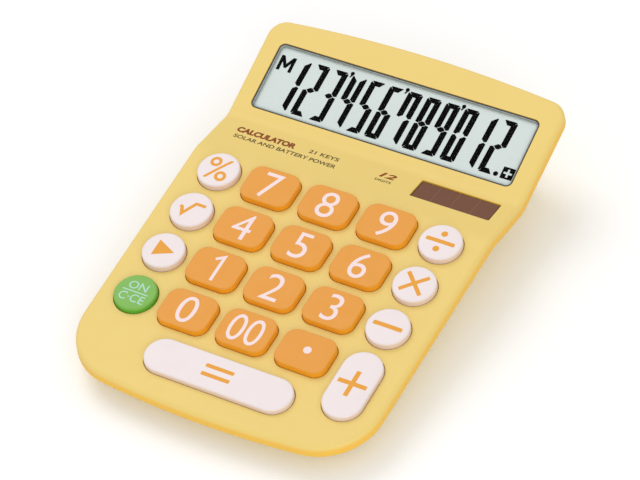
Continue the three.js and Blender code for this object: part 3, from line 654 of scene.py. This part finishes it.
# ---- Top shell ----
def top_shell():
    """One closed skin: folded top, rolled outer edge, eased key holes and windows, walls and ceiling."""
    holes = []
    ease, clearance = 0.15, 0.22
    steps = 4
    for _, form, centre in KEYS:
        rings = []
        for k in range(steps + 1):
            angle = k / steps * math.pi / 2
            offset = clearance + ease * (1 - math.sin(angle))
            z = -ease * (1 - math.cos(angle))
            rings.append([(x, y, z) for x, y in rounded(form, offset, centre)])
        rings.append([(x, y, -SKIN) for x, y in rounded(form, clearance, centre)])
        holes.append(rings)
    for form, centre, panel, slope in (
        (WINDOW, WINDOW_CENTRE, ON_DECK_DISPLAY, DISPLAY_SLOPE),
        (SOLAR_WINDOW, SOLAR_CENTRE, ON_DECK_BAND, BAND_SLOPE),
    ):
        rings = []
        lip = 0.2
        for k in range(steps + 1):
            angle = k / steps * math.pi / 2
            offset, z = lip * (1 - math.sin(angle)), -lip * (1 - math.cos(angle))
            rings.append([tuple(panel @ Vector((x, y, z))) for x, y in rounded(form, offset, centre, 6)])
        deep = -SKIN * math.cos(slope)
        rings.append([tuple(panel @ Vector((x, y, deep))) for x, y in rounded(form, 0, centre, 6)])
        holes.append(rings)

    # Painted shade: the rolled outer edge takes the second colour from partway down the roll, fully on its
    # lower side, rim and inner wall.
    edge_rings = [case_ring(1.9, 0)]
    edge_painted_shading = [0.0]
    for k in range(1, 8):
        angle = k / 7 * math.pi / 2
        edge_rings.append(case_ring(1.9 - 1.75 * math.sin(angle), -2.4 * (1 - math.cos(angle))))
        edge_painted_shading.append(min(1.0, max(0.0, (k - 4) / 3)))
    edge_rings += [case_ring(0.06, -3.8), case_ring(0, -4.8)]
    edge_rings += [case_ring(0.2, -RIM_DEPTH), case_ring(SKIN + 0.2, -RIM_DEPTH)]
    edge_painted_shading += [1.0, 1.0, 1.0, 1.0]
    edge_rings.append(case_ring(SKIN + 0.2, -SKIN))
    edge_painted_shading.append(1.0)

    points, edges, loops = [], [], []
    for ring in [edge_rings[0]] + [rings[0] for rings in holes]:
        start = len(points)
        points += [Vector(p[:2]) for p in ring]
        edges += [(start + i, start + (i + 1) % len(ring)) for i in range(len(ring))]
        loops.append((start, len(ring)))
    border = [tuple(p[:2]) for p in edge_rings[0]]
    cut_outs = [[tuple(p[:2]) for p in rings[0]] for rings in holes]
    for y in FOLD_LINES:
        reach = max(x for x, level in border if abs(level - y) < 1e-6)
        blocked = []
        if y < 1:
            for _, form, centre in KEYS:
                if abs(centre[1] - FIRST_ROW) < 1:
                    blocked.append((centre[0] - form["x"] - 1.6, centre[0] + form["x"] + 1.6))
        blocked.sort()
        spans, left = [], -reach
        for low, high in blocked:
            spans.append((left, low))
            left = high
        spans.append((left, reach))
        for low, high in spans:
            count = max(1, round((high - low) / 6))
            for i in range(count + 1):
                points.append(Vector((lerp(low, high, i / count), y)))
                if i:
                    edges.append((len(points) - 2, len(points) - 1))
    verts, _, faces, origins, _, _ = delaunay_2d_cdt(points, edges, [], 0, 1e-5)
    keep = []
    for face in faces:
        centre = [sum(verts[i][k] for i in face) / len(face) for k in range(2)]
        if inside(centre, border) and not any(inside(centre, hole) for hole in cut_outs):
            keep.append(face)

    bm = bmesh.new()
    layer = painted_shading_layer(bm)
    all_rings = [edge_rings] + holes
    placed = {}
    for index, sources in enumerate(origins):
        for source in sources:
            for number, (start, count) in enumerate(loops):
                if start <= source < start + count:
                    placed[index] = (number, source - start)
    made = []
    for number, rings in enumerate(all_rings):
        made.append([[bm.verts.new(p) for p in ring] for ring in rings])
        for k, ring in enumerate(made[-1]):
            for v in ring:
                # Painted shade: the walls of key holes and windows take the second colour from partway down
                # their eased lip, and so does the ceiling.
                v[layer] = edge_painted_shading[k] if number == 0 else (0.0 if k < 2 else 1.0)
        for a, b in zip(made[-1], made[-1][1:]):
            strip(bm, a, b)
    top, ceiling = {}, {}
    for index, p in enumerate(verts):
        if index in placed:
            number, position = placed[index]
            top[index] = made[number][0][position]
            ceiling[index] = made[number][-1][position]
        else:
            top[index] = bm.verts.new((p[0], p[1], surface(p[1])))
            ceiling[index] = bm.verts.new((p[0], p[1], surface(p[1]) - SKIN))
            ceiling[index][layer] = 1.0
    for face in keep:
        bm.faces.new([top[i] for i in face])
        bm.faces.new([ceiling[i] for i in reversed(face)])
    loose = [v for v in bm.verts if not v.link_faces]
    bmesh.ops.delete(bm, geom=loose, context="VERTS")
    return bm


shell_mesh = finished(top_shell(), DECK, merge=1e-5)
add("top_shell", shell_mesh, YELLOW, "case", ["top_case"], sharp=50)


def boss(radius, bore, bottom, centre):
    """A hollow screw boss under the ceiling of the top shell."""
    outer, inner = circle(radius, centre), circle(bore, centre)
    low, high = bottom, -SKIN + 0.05
    rings = [
        at(outer, high), at(outer, low + 0.2), at(circle(radius - 0.2, centre), low),
        at(circle(bore + 0.2, centre), low), at(inner, low + 0.2), at(inner, high),
    ]
    bm = lofted(rings, close=False)
    bm.verts.ensure_lookup_table()
    count = len(outer)
    strip(bm, bm.verts[-count:], bm.verts[:count])
    return bm


bosses = [boss(3, 1.6, BOSS_BOTTOM, p) for p in CASE_SCREWS]
bosses += [boss(2.3, 1.1, BOARD_TOP + GAP, p) for p in BOARD_SCREWS]
add("top_shell_bosses", finished(joined(bosses), DECK), YELLOW, "case")


# ---- Bottom shell ----
def depth_of(height, y):
    return (height - DECK_ORIGIN[2] - y * math.sin(TILT)) / math.cos(TILT)


def base_ring(inset, height):
    return [(x, y, depth_of(height, y)) for x, y in outline(BASE, inset, BASE_TAPER)]


def between(a, b, t):
    return [tuple(lerp(p[i], q[i], t) for i in range(3)) for p, q in zip(a, b)]


TO_DECK = Matrix.Rotation(-TILT, 4, "X") @ Matrix.Translation((0, -DECK_ORIGIN[1], -DECK_ORIGIN[2]))


def on_deck(bm):
    bm.transform(TO_DECK)
    return bm


def box_plan(left, front, right, back):
    return [(left, front), (right, front), (right, back), (left, back)]


def bottom_shell():
    rim = case_ring(0.3, -RIM_DEPTH - GAP)
    rolled = case_ring(0.5, -RIM_DEPTH - GAP)
    inner_rim = case_ring(SKIN + 0.2, -RIM_DEPTH - GAP)
    bilge, base = base_ring(0, BILGE_HEIGHT), base_ring(2.5, BASE_HEIGHT)
    low, floor = base_ring(SKIN, BILGE_HEIGHT + 1), base_ring(SKIN + 2, FLOOR_HEIGHT)
    side, turn = between(rim, bilge, 0.93), between(bilge, base, 0.35)
    corner = between(side, turn, 0.5)
    rounded_bilge = between(corner, bilge, 0.5)
    shell = lofted([
        base_ring(3.3, BASE_HEIGHT), between(base, bilge, 0.12), turn, rounded_bilge, side,
        between(rim, bilge, 0.6), between(rim, bilge, 0.25), between(rim, bilge, 0.04), rolled,
        inner_rim, between(inner_rim, low, 0.5), low, floor,
    ])
    within = lofted([
        base_ring(1, BASE_HEIGHT + 0.5), base_ring(1, BILGE_HEIGHT + 1), case_ring(1.2, -RIM_DEPTH - GAP),
    ])
    pillars = [prism(circle(3.7, p), depth_of(0, p[1]), PILLAR_TOP) for p in CASE_SCREWS]
    pillars = combined(joined(pillars), [within], "INTERSECT")
    pocket_plan = rounded({"x": 15, "y": 10, "r": 2}, 1.8, DOOR_CENTRE, 4)
    pocket = on_deck(prism(pocket_plan, FLOOR_HEIGHT - 1, CELL_HIGH + 2))
    hooks = []
    for x in (-30, 30):
        seat = surface(66.2) - RIM_DEPTH
        hooks.append(prism(box_plan(x - 4, 65.6, x + 4, 66.8), seat - 6, seat + 2.6))
    whole = combined(shell, [pillars, pocket, *hooks], "UNION")
    cuts = []
    for p in CASE_SCREWS:
        cuts.append(prism(circle(1.7, p), depth_of(0, p[1]), PILLAR_TOP + 1))
        cuts.append(prism(circle(2.9, p), depth_of(0, p[1]) - 5, PILLAR_TOP - 2.4))
    cuts.append(on_deck(prism(rounded({"x": 15, "y": 10, "r": 2}, GAP, DOOR_CENTRE, 4), 0, FLOOR_HEIGHT)))
    cuts.append(on_deck(prism(circle(6.8, BATTERY), FLOOR_HEIGHT - 1, CELL_HIGH + 0.7)))
    cuts.append(on_deck(prism(circle(1.3, DOOR_SCREW, 12), FLOOR_HEIGHT - 1, CELL_HIGH - 1)))
    cuts.append(on_deck(prism(box_plan(-1.6, 51.4, 1.6, 52.6), CELL_HIGH, CELL_HIGH + 3)))
    cuts.append(on_deck(prism(box_plan(-7.1, 50.4, -5.9, 53.6), CELL_LOW, CELL_HIGH + 3)))
    for _, x, y in FEET:
        cuts.append(on_deck(prism(circle(5.3, (x, y), 40), 0, BASE_HEIGHT + 0.6)))
    return combined(whole, cuts, "DIFFERENCE")


add("bottom_shell", finished(bottom_shell(), DECK), YELLOW, "case", ["bottom_case"], sharp=28)

for place, x, y in FEET:
    profile = [
        (0, 0.25), (3.2, 0.25), (3.5, 0), (4.5, 0), (4.9, 0.15), (5, 0.5), (5, 1.75), (4.9, 1.8), (0, 1.8),
    ]
    pad = finished(turned(profile, (x, y, 0), 40), DESK)
    add(f"pad_{place}", pad, RUBBER, "case", [f"foot_{place}"])


# ---- Battery door ----
def battery_door():
    form = {"x": 15, "y": 10, "r": 2}
    top = BASE_HEIGHT + 1.7
    plate = lofted([
        at(rounded(form, -0.25, DOOR_CENTRE), BASE_HEIGHT),
        at(rounded(form, 0, DOOR_CENTRE), BASE_HEIGHT + 0.25),
        at(rounded(form, 0, DOOR_CENTRE), top),
    ])
    cuts = [prism(circle(1.5, DOOR_SCREW), 0, top + 1), prism(circle(2.8, DOOR_SCREW), 0, BASE_HEIGHT + 0.8)]
    for k in range(5):
        x = DOOR_CENTRE[0] - 12.6 + k * 1.6
        groove = rounded({"x": 0.35, "y": 5, "r": 0.34}, 0, (x, DOOR_CENTRE[1]), 4)
        cuts.append(prism(groove, 0, BASE_HEIGHT + 0.35))
    return combined(plate, cuts, "DIFFERENCE")


add("door_plate", finished(battery_door(), DESK), YELLOW, "case", ["battery_door"])


# ---- Screws ----
def screw(head, head_height, shaft, length):
    """Pan head with a cross recess and a threaded shaft, head down."""
    profile = [(0, 0), (head * 0.6, 0.06), (head - 0.4, 0.2), (head, 0.55)]
    profile += [(head, head_height), (shaft, head_height)]
    z, end = head_height + 0.3, head_height + length - 0.9
    while z + 0.5 < end:
        profile += [(shaft * 0.82, z), (shaft, z + 0.2), (shaft, z + 0.28), (shaft * 0.82, z + 0.5)]
        z += 0.62
    profile += [(shaft * 0.8, end), (0, head_height + length)]
    recess = []
    for turn in (0, 90):
        reach = head * 0.55
        opening, bottom = box_plan(-reach, -0.28, reach, 0.28), box_plan(-0.3, -0.18, 0.3, 0.18)
        arm = lofted([at(opening, -0.5), at(bottom, 0.7)])
        arm.transform(Matrix.Rotation(math.radians(turn + 12), 4, "Z"))
        recess.append(arm)
    return combined(turned(profile), recess, "DIFFERENCE")


for (x, y), place in zip(CASE_SCREWS, ("front_right", "front_left", "middle_right", "middle_left")):
    z = PILLAR_TOP - 2.4 - GAP - 1.6
    body = finished(screw(2.5, 1.6, 1.25, 5.4), DECK @ Matrix.Translation((x, y, z)))
    add(f"case_fixing_{place}", body, STEEL, "case", [f"case_screw_{place}"])
for number, (x, y) in enumerate(BOARD_SCREWS):
    body = finished(screw(2, 1.2, 0.8, 5), DECK @ Matrix.Translation((x, y, BOARD_TOP - 1.6 - GAP - 1.2)))
    add(f"board_fixing_{number + 1}", body, STEEL, "case", [f"board_screw_{number + 1}"])
body = finished(screw(2.3, 0.9, 1, 4), DESK @ Matrix.Translation((*DOOR_SCREW, BASE_HEIGHT - 0.4)))
add("door_fixing", body, STEEL, "case", ["battery_door_screw"])


# ---- Display ----
def display_glass():
    """Back plate and front plate of the liquid crystal glass, with painted shade darkening the rim of its
    face under the window edge.
    """
    back = {"x": 58.6, "y": 16.3, "r": 0.3}
    front = {"x": WINDOW["x"] - GAP, "y": WINDOW["y"] - GAP, "r": WINDOW["r"] - GAP}
    bm = lofted([at(rounded(back, 0, (0, 19.8), 2), -5.6), at(rounded(back, 0, (0, 19.8), 2), -3.6)], [1, 1])
    rings, painted_shading_marks = [], []
    # The third value marks painted shade: full on the sides and outer rim of the face, fading out inwards.
    levels = (
        (0, -4.6, 1), (0, FACE - 0.1, 1), (-0.1, FACE, 1),
        (-0.55, FACE, 0.5), (-1.6, FACE, 0), (-2.2, FACE, 0),
    )
    for offset, z, painted_shading in levels:
        rings.append(at(rounded(front, offset, WINDOW_CENTRE, 6), z))
        painted_shading_marks.append(painted_shading)
    return joined([bm, lofted(rings, painted_shading_marks)])


add("display_glass", finished(display_glass(), DISPLAY), LCD_PALE, "case", ["display_panel"])


def window_lens():
    levels = ((-0.6, LENS_LOW), (-0.6, LENS_HIGH - 0.12), (-0.72, LENS_HIGH))
    return lofted([at(rounded(WINDOW, offset, WINDOW_CENTRE, 6), z) for offset, z in levels])


def window_shadow_seal():
    """A thin frame between the lens and the wall of the window: its dark colour is a painted shadow line
    round the window, and its lower part is painted pale like the lit display.
    """
    low = FACE + 0.05
    levels = (
        (-0.03, low), (-0.03, -0.2), (-0.1, -0.12), (-0.48, -0.12),
        (-0.55, -0.2), (-0.55, -0.42), (-0.55, -0.5), (-0.55, low),
    )
    bm = bmesh.new()
    layer = painted_shading_layer(bm)
    rings = []
    for offset, z in levels:
        rings.append([bm.verts.new(p) for p in at(rounded(WINDOW, offset, WINDOW_CENTRE, 6), z)])
        for v in rings[-1]:
            # Painted shading: the lower part takes the pale second colour.
            v[layer] = float(z < -0.45)
    for a, b in zip(rings, rings[1:] + rings[:1]):
        strip(bm, a, b)
    return bm


add("window_lens", finished(window_lens(), DISPLAY), LENS, "case", ["display_lens"])
add("window_shadow_seal", finished(window_shadow_seal(), DISPLAY), SHADOW_SEAL, "case")

SEGMENTS = {
    "0": "abcdef", "1": "bc", "2": "abged", "3": "abgcd", "4": "fgbc", "5": "afgcd",
    "6": "afgedc", "7": "abcf", "8": "abcdefg", "9": "abcdfg",
}
DIGIT = {
    "width": 6.2, "height": 23.5, "stroke": 2.45, "bar": 2.15, "gap": 0.13,
    "pitch": 8.165, "left": -47.45, "low": 8.56,
}
DIGIT_LEAN = 0.05
READING_RISE = 0.0095
READING_PIVOT = 49
SEEN_DEPTH = 1.37
SHIFT = (-0.454 * SEEN_DEPTH, 0.358 * SEEN_DEPTH)


def segment(name):
    w, h, t, g = DIGIT["width"], DIGIT["height"], DIGIT["stroke"], DIGIT["gap"]
    m, b = h / 2, DIGIT["bar"]
    upper_left = [
        (0, h - 0.7 - g), (0.4, h - 0.3 - g), (t, h - b - g),
        (t, m + b * 0.5 + g), (t * 0.45, m + g), (0, m + 0.35 + g),
    ]
    top = [
        (0.4 + g, h - 0.2), (0.7 + g, h), (w - 0.7 - g, h),
        (w - 0.4 - g, h - 0.2), (w - t * 0.8 - g, h - b), (t * 0.8 + g, h - b),
    ]
    middle = [
        (t * 0.5 + g, m), (t + g, m - b * 0.5), (w - t - g, m - b * 0.5),
        (w - t * 0.5 - g, m), (w - t - g, m + b * 0.5), (t + g, m + b * 0.5),
    ]

    def mirror(points, across, down):
        return [(w - x if across else x, h - y if down else y) for x, y in points]

    return {
        "a": top, "d": mirror(top, False, True), "f": upper_left, "b": mirror(upper_left, True, False),
        "e": mirror(upper_left, False, True), "c": mirror(upper_left, True, True), "g": middle,
    }[name]


def on_face(polygon):
    rise = [(x, y + READING_RISE * (x - READING_PIVOT)) for x, y in polygon]
    return prism([(x + SHIFT[0], y + SHIFT[1]) for x, y in rise], FACE - 0.1, FACE + 0.04)


def reading():
    """The twelve figures, their thousands marks, the point, the memory letter and the sign box."""
    parts = []
    for k, figure in enumerate("123456789012"):
        left = DIGIT["left"] + k * DIGIT["pitch"]
        for name in SEGMENTS[figure]:
            lean = [(x + DIGIT_LEAN * (y - DIGIT["height"] / 2), y) for x, y in segment(name)]
            parts.append(on_face([(left + x, DIGIT["low"] + y) for x, y in lean]))
    for x in (-23.0, 1.2, 25.6):
        parts.append(on_face(circle(0.85, (x, 32.3), 16)))
        parts.append(on_face([(x + 0.8, 32.2), (x - 0.2, 30.4), (x - 0.75, 30.6), (x - 0.2, 32.0)]))
    parts.append(on_face(circle(1.0, (49.3, 9.5), 20)))
    half = [(0, 28.3), (-1.9, 31.6), (-3.3, 31.6), (-3.3, 24.9), (-1.9, 24.9), (-1.9, 28.9), (-0.5, 26.4)]
    memory = half + [(-x, y) for x, y in reversed(half[1:])]
    parts.append(on_face([(x - 50.8, y) for x, y in memory]))
    low_x, low_y, side, arm, reach = 51.3, 8.4, 5.0, 0.42, 1.75
    mid_x, mid_y = low_x + side / 2, low_y + side / 2
    plus = [
        (arm, arm), (reach, arm), (reach, -arm), (arm, -arm), (arm, -reach), (-arm, -reach),
        (-arm, -arm), (-reach, -arm), (-reach, arm), (-arm, arm), (-arm, reach), (arm, reach),
    ]
    edge = {"left": low_x, "right": low_x + side, "low": low_y, "high": low_y + side}
    cross = [(mid_x + x, mid_y + y) for x, y in plus]
    upper = [
        (edge["left"], mid_y), (mid_x - reach, mid_y), *cross[8:], *cross[:2],
        (mid_x + reach, mid_y), (edge["right"], mid_y),
        (edge["right"], edge["high"]), (edge["left"], edge["high"]),
    ]
    lower = [(x, 2 * mid_y - y) for x, y in reversed(upper)]
    parts += [on_face(upper), on_face(lower)]
    return joined(parts)


reading_mesh = reading()
bmesh.ops.triangulate(reading_mesh, faces=reading_mesh.faces)
add("display_reading", finished(reading_mesh, DISPLAY, merge=0), INK, "case")


# ---- Solar cell ----
SOLAR_LOW = -SKIN * math.cos(BAND_SLOPE) - GAP
SOLAR_TOP = -0.5


def solar_film():
    """The plate under the band, with its raised glass in the window."""
    plate = {"x": 18.4, "y": 7, "r": 0.4}
    glass = {"x": SOLAR_WINDOW["x"] - GAP, "y": SOLAR_WINDOW["y"] - GAP, "r": 0.35}
    lower = [at(rounded(plate, 0, SOLAR_CENTRE, 3), z) for z in (SOLAR_LOW - 1.1, SOLAR_LOW)]
    levels = ((0, SOLAR_LOW - 0.5), (0, SOLAR_TOP - 0.1), (-0.1, SOLAR_TOP), (-0.34, SOLAR_TOP))
    upper = [at(rounded(glass, offset, SOLAR_CENTRE, 3), z) for offset, z in levels]
    middle = {"x": glass["x"] - 1, "y": glass["y"] - 1, "r": 0.35}
    upper.append(at(rounded(middle, 0, SOLAR_CENTRE, 3), SOLAR_TOP))
    # The plate and the sides of the glass take the painted shade colour; the top of the glass does not.
    return joined([lofted(lower, [1, 1]), lofted(upper, [1, 1, 1, 0, 0])])


add("solar_film", finished(solar_film(), BAND), SOLAR_BROWN, "case", ["solar_cell"])
solar_lines = joined([bars((SOLAR_CENTRE[0] + k * 8.3, SOLAR_CENTRE[1], 0.1, 5.1, 0)) for k in (-1, 0, 1)])
for v in solar_lines.verts:
    v.co.z = SOLAR_TOP + (0.02 if v.co.z > 0 else -0.1)
add("solar_contact_lines", finished(solar_lines, BAND), SOLAR_LINE, "case")


# ---- Printing on the band ----
def band_print(name, text, centre, height, width, ink, weight=0.0, slant=0.0):
    bm = lettering(text, height, 1, weight, slant, width)
    for v in bm.verts:
        v.co.x += centre[0]
        v.co.y += centre[1]
        v.co.z = 0.02 if v.co.z > 0 else -0.2
    add(name, finished(bm, BAND, merge=0), ink, "case")


band_print("print_title", "CALCULATOR", (-42.0, 17.6), 3.4, 26, BROWN_PRINT, 0.6)
band_print("print_line", "SOLAR AND BATTERY POWER", (-31.6, 13.2), 2.3, 45, OLIVE_PRINT, 0.2)
band_print("print_keys", "21 KEYS", (-16.6, 17.8), 2.2, 13, OLIVE_PRINT, 0.2)
band_print("print_digits", "12", (11.4, 17.7), 3.2, 6.8, BROWN_PRINT, 0.34, 0.25)
band_print("print_digits_word", "DIGITS", (11.0, 14.1), 1.4, 6.8, OLIVE_PRINT, 0.2)


# ---- Rubber mat with a dome under each key ----
def sheet_outline(inset):
    points = []
    for sx, y, radius, start in ((1, 3, 4, 0), (-1, 3, 4, 1), (-1, -101.5, 24, 2), (1, -101.5, 24, 3)):
        middle = y - math.copysign(radius, y)
        for i in range(9):
            angle = (start + i / 8) * math.pi / 2
            x = sx * (55 - radius) + (radius - inset) * math.cos(angle)
            points.append((x, middle + (radius - inset) * math.sin(angle)))
    return points


def key_sheet():
    low = BOARD_TOP + GAP
    levels = ((1.1, low), (1, low + 0.2), (1, MAT_TOP - 0.2), (1.2, MAT_TOP))
    sheet = lofted([at(sheet_outline(inset), z) for inset, z in levels])
    cuts = [prism(circle(4.3, p), BOARD_TOP - 5, MAT_TOP + 1) for p in CASE_SCREWS]
    cuts += [prism(circle(2.7, p), BOARD_TOP - 5, MAT_TOP + 1) for p in BOARD_SCREWS]
    cuts += [prism(circle(5.2, centre), BOARD_TOP - 5, MAT_TOP + 1) for _, _, centre in KEYS]
    return combined(sheet, cuts, "DIFFERENCE")


def dome():
    """A hollow silicone dome that stands on the sheet, with a firm crown."""
    outer = [
        (6, MAT_TOP), (5.9, MAT_TOP + 0.3), (4.6, MAT_TOP + 1.6), (4, MAT_TOP + 2.2),
        (3.5, DOME_TOP - 0.3), (3.3, DOME_TOP), (0.1, DOME_TOP),
    ]
    inner = [(0.1, DOME_TOP - 1.2), (2.6, DOME_TOP - 1.2), (2.9, DOME_TOP - 1.5)]
    inner += [(4.7, MAT_TOP + 0.2), (5.2, MAT_TOP)]
    rings = [at(circle(r), z) for r, z in outer] + [at(circle(r), z) for r, z in inner]
    bm = bmesh.new()
    painted_shading_layer(bm)
    made = [[bm.verts.new(p) for p in ring] for ring in rings]
    split = len(outer)
    for group in (made[:split], made[split:]):
        for a, b in zip(group, group[1:]):
            strip(bm, a, b)
    strip(bm, made[-1], made[0])
    bm.faces.new(made[split - 1])
    bm.faces.new(list(reversed(made[split])))
    return bm


add("key_sheet", finished(key_sheet(), DECK), SILICONE, "case", ["rubber_key_mat"])
for label, _, centre in KEYS:
    mesh = finished(dome(), key_matrix(centre))
    made = add(f"dome_{label}", mesh, SILICONE, "case", ["rubber_key_mat"])
    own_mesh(made)


# ---- CAD nodes that keep their shape ----
KEPT = {
    "display_holder": GREY, "display_ribbon": AMBER, "circuit_board": BOARD, "chip_cover": EPOXY,
    "capacitor": SLEEVE, "coin_cell": STEEL, "battery_contact_top": BRASS, "battery_contact_side": BRASS,
    "battery_lead_black": BLACK, "battery_lead_red": RED, "solar_lead_red": RED, "solar_lead_black": BLACK,
}
for node, material in KEPT.items():
    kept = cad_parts[node]
    for slot in kept.material_slots:
        slot.material = material
    rounding = kept.modifiers.new("rounded_edges", "BEVEL")
    rounding.width = 0.00006
    rounding.segments = 2
    rounding.limit_method = "ANGLE"
    rounding.angle_limit = math.radians(50)


# ---- Floor, light and camera ----
def floor_material():
    made = bpy.data.materials.new("floor_paper")
    made.use_nodes = True
    nodes, links = made.node_tree.nodes, made.node_tree.links
    bsdf = nodes["Principled BSDF"]
    coords = nodes.new("ShaderNodeTexCoord").outputs["Object"]
    tone = ranged(nodes, links, noise(nodes, links, coords, 3, 3), 0.3, 0.7, 0.0, 1.0)
    paper = mixed(nodes, links, tone, (0.93, 0.93, 0.93, 1), (0.95, 0.95, 0.95, 1))
    links.new(paper, bsdf.inputs["Base Color"])
    bsdf.inputs["Roughness"].default_value = 0.9
    bsdf.inputs["Specular IOR Level"].default_value = 0.1
    return made


floor_mesh = bpy.data.meshes.new("floor")
floor_bm = bmesh.new()
bmesh.ops.create_grid(floor_bm, x_segments=4, y_segments=4, size=4)
floor_bm.to_mesh(floor_mesh)
floor_bm.free()
floor_mesh.materials.append(floor_material())
floor = bpy.data.objects.new("floor", floor_mesh)
scene.collection.objects.link(floor)

world = bpy.data.worlds.new("studio")
scene.world = world
world.use_nodes = True
world.node_tree.nodes["Background"].inputs["Color"].default_value = (1, 1, 1, 1)
world.node_tree.nodes["Background"].inputs["Strength"].default_value = 0.79


def panel_light(name, place, target, size, power):
    light = bpy.data.lights.new(name, "AREA")
    light.shape = "DISK"
    light.size = size
    light.energy = power
    made = bpy.data.objects.new(name, light)
    made.location = place
    made.rotation_euler = (Vector(target) - Vector(place)).to_track_quat("-Z", "Y").to_euler()
    scene.collection.objects.link(made)


panel_light("key_light", (-0.9, 0.55, 1.5), (0, 0, 0), 1.3, 10)
panel_light("fill_light", (0.9, -1.1, 0.7), (0, 0, 0), 1.2, 8)

EYE = DECK @ Vector((453.958, -605.988, 876.509))
TARGET = DECK @ Vector((4.128, -23.467, 0))
camera_data = bpy.data.cameras.new("camera")
camera_data.sensor_width = 36
camera_data.lens = 172.085
camera_data.clip_start = 0.05
camera_data.clip_end = 20
camera = bpy.data.objects.new("camera", camera_data)
ROLL = math.radians(-6.2426)
look = (TARGET - EYE).to_track_quat("-Z", "Y").to_matrix().to_4x4()
camera.matrix_world = Matrix.Translation(EYE) @ look @ Matrix.Rotation(ROLL, 4, "Z")
scene.collection.objects.link(camera)
scene.camera = camera
